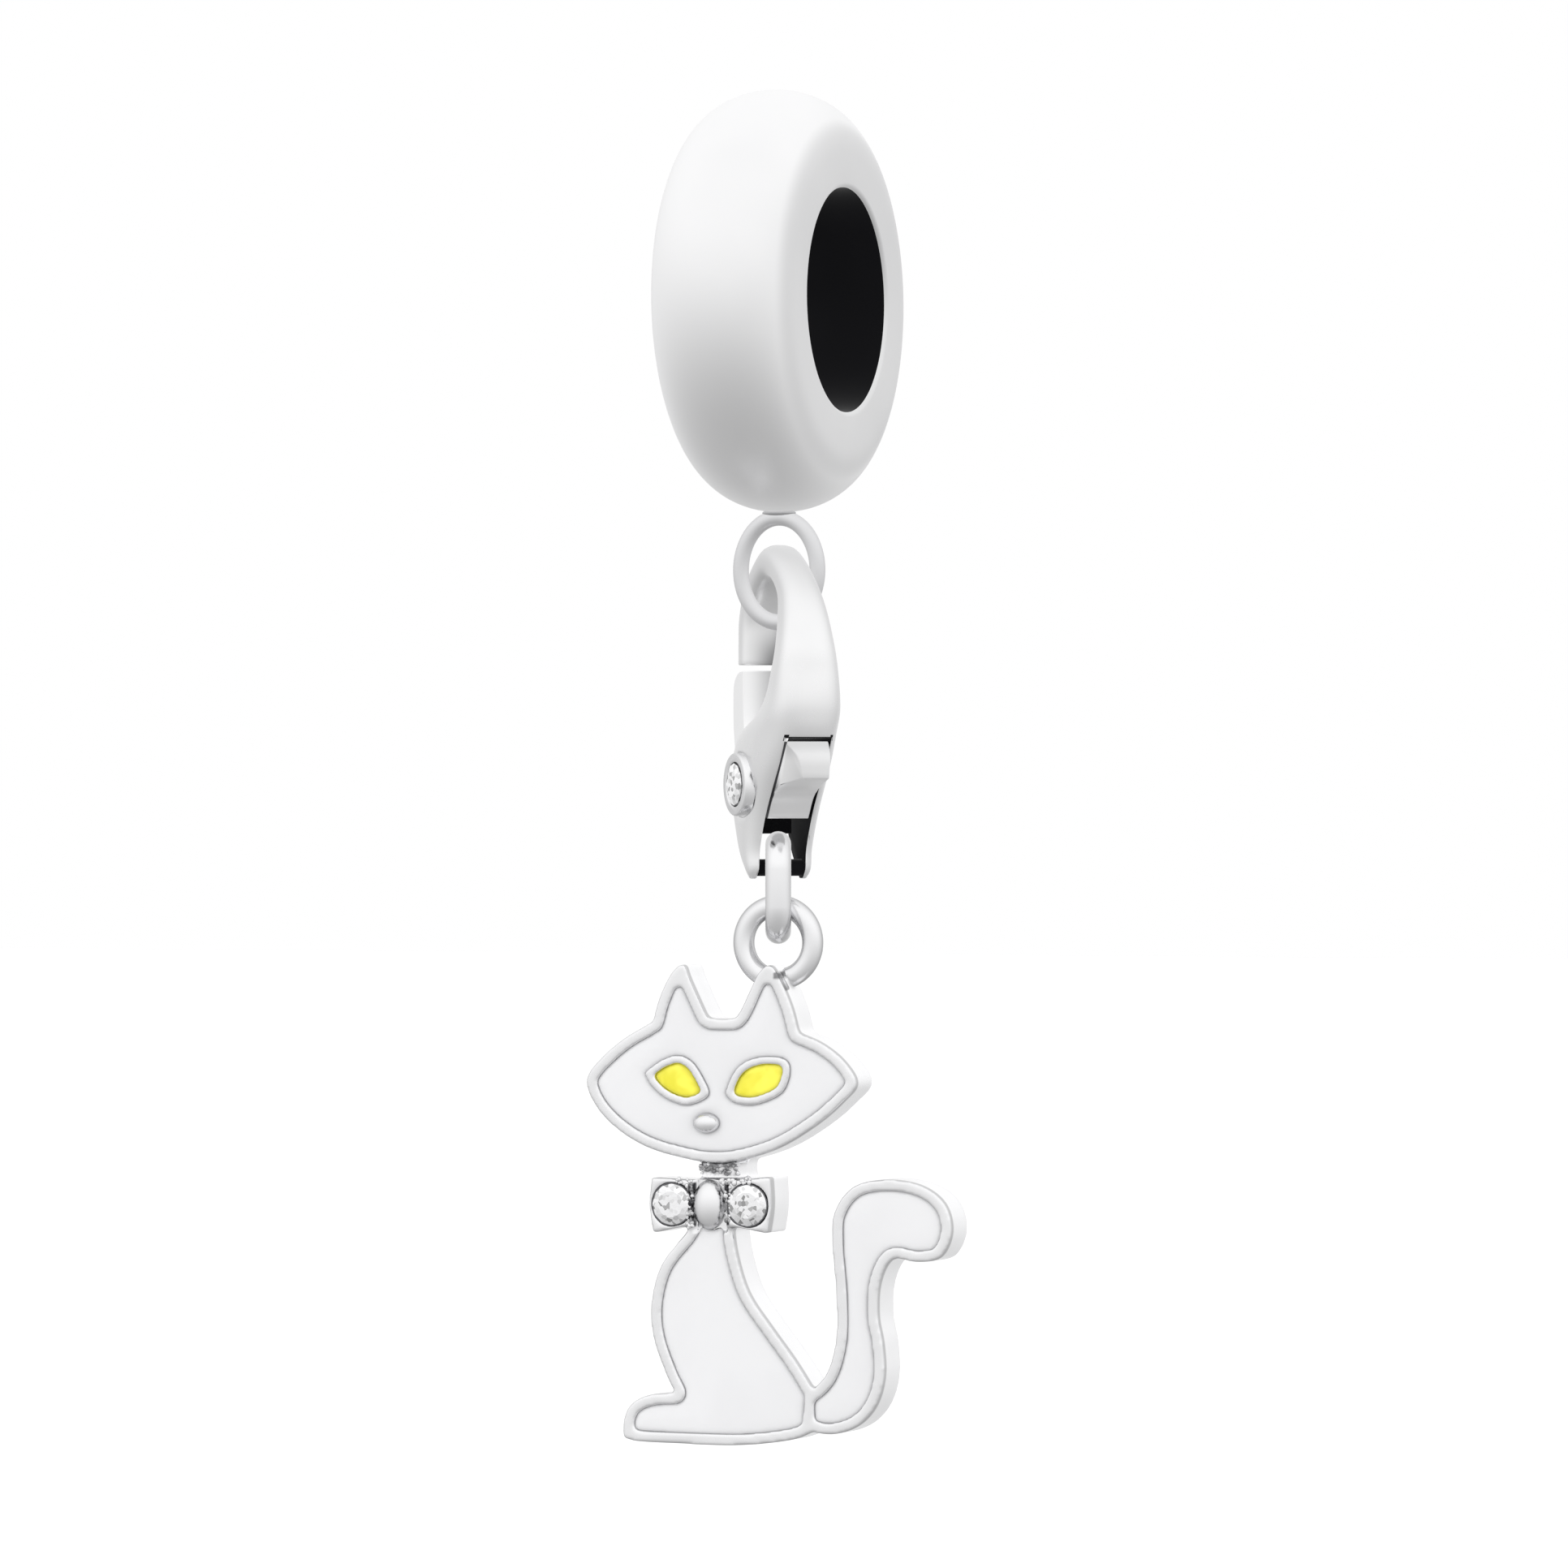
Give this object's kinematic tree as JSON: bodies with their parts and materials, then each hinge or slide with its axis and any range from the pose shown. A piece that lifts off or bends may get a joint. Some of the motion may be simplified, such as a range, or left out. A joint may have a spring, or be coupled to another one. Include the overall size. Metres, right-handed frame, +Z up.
{
  "type": "dangle charm",
  "caption": "Round spacer bead with a soldered loop, a lobster clasp set with a crystal, a long link, and an enamelled sitting cat with a bow tie that hangs from it.",
  "frame": {"origin": "middle of the bead's bore, where it hangs on a bracelet", "axes": "+X along the bore, +Z up, -Y to the cat's front"},
  "size_m": [0.0092, 0.01, 0.0321],
  "materials": {
    "polished_silver": "polished, rhodium bright",
    "cast_silver": "polished cast metal, grainy and darkened in the bow tie's hollows",
    "white_enamel": "glossy poured enamel",
    "yellow_enamel": "glossy poured enamel",
    "clear_crystal": "clear cut crystal"
  },
  "bodies": {
    "bead": {"bead": "polished_silver"},
    "clasp": {"clasp_body": "polished_silver", "rivet": "polished_silver", "clasp_crystal": "clear_crystal"},
    "lever": {"clasp_lever": "polished_silver"},
    "link": {"link": "polished_silver"},
    "cat": {"cat_frame": "cast_silver", "head_enamel": "white_enamel", "body_enamel": "white_enamel", "tail_enamel": "white_enamel", "eye_enamel_left": "yellow_enamel", "eye_enamel_right": "yellow_enamel", "bow_crystal_left": "clear_crystal", "bow_crystal_right": "clear_crystal"}
  },
  "joints": [
    {"name": "clasp_swing", "type": "hinge", "parent": "bead", "child": "clasp", "pos_m": [0, 0, -0.00618], "axis": [-0.7431, -0.6691, 0], "range_deg": [-15, 15]},
    {"name": "lever_open", "type": "hinge", "parent": "clasp", "child": "lever", "pos_m": [-0.00007, 0.00007, -0.01145], "axis": [0.7431, 0.6691, 0], "range_deg": [0, 22], "stiffness_Nm_per_rad": 0.0001},
    {"name": "link_swing", "type": "hinge", "parent": "clasp", "child": "link", "pos_m": [-0.00004, 0.00004, -0.01342], "axis": [-0.7431, -0.6691, 0], "range_deg": [-30, 30]},
    {"name": "cat_swing", "type": "hinge", "parent": "link", "child": "cat", "pos_m": [-0.00004, 0.00004, -0.01519], "axis": [0, 1, 0], "range_deg": [-35, 35]}
  ]
}
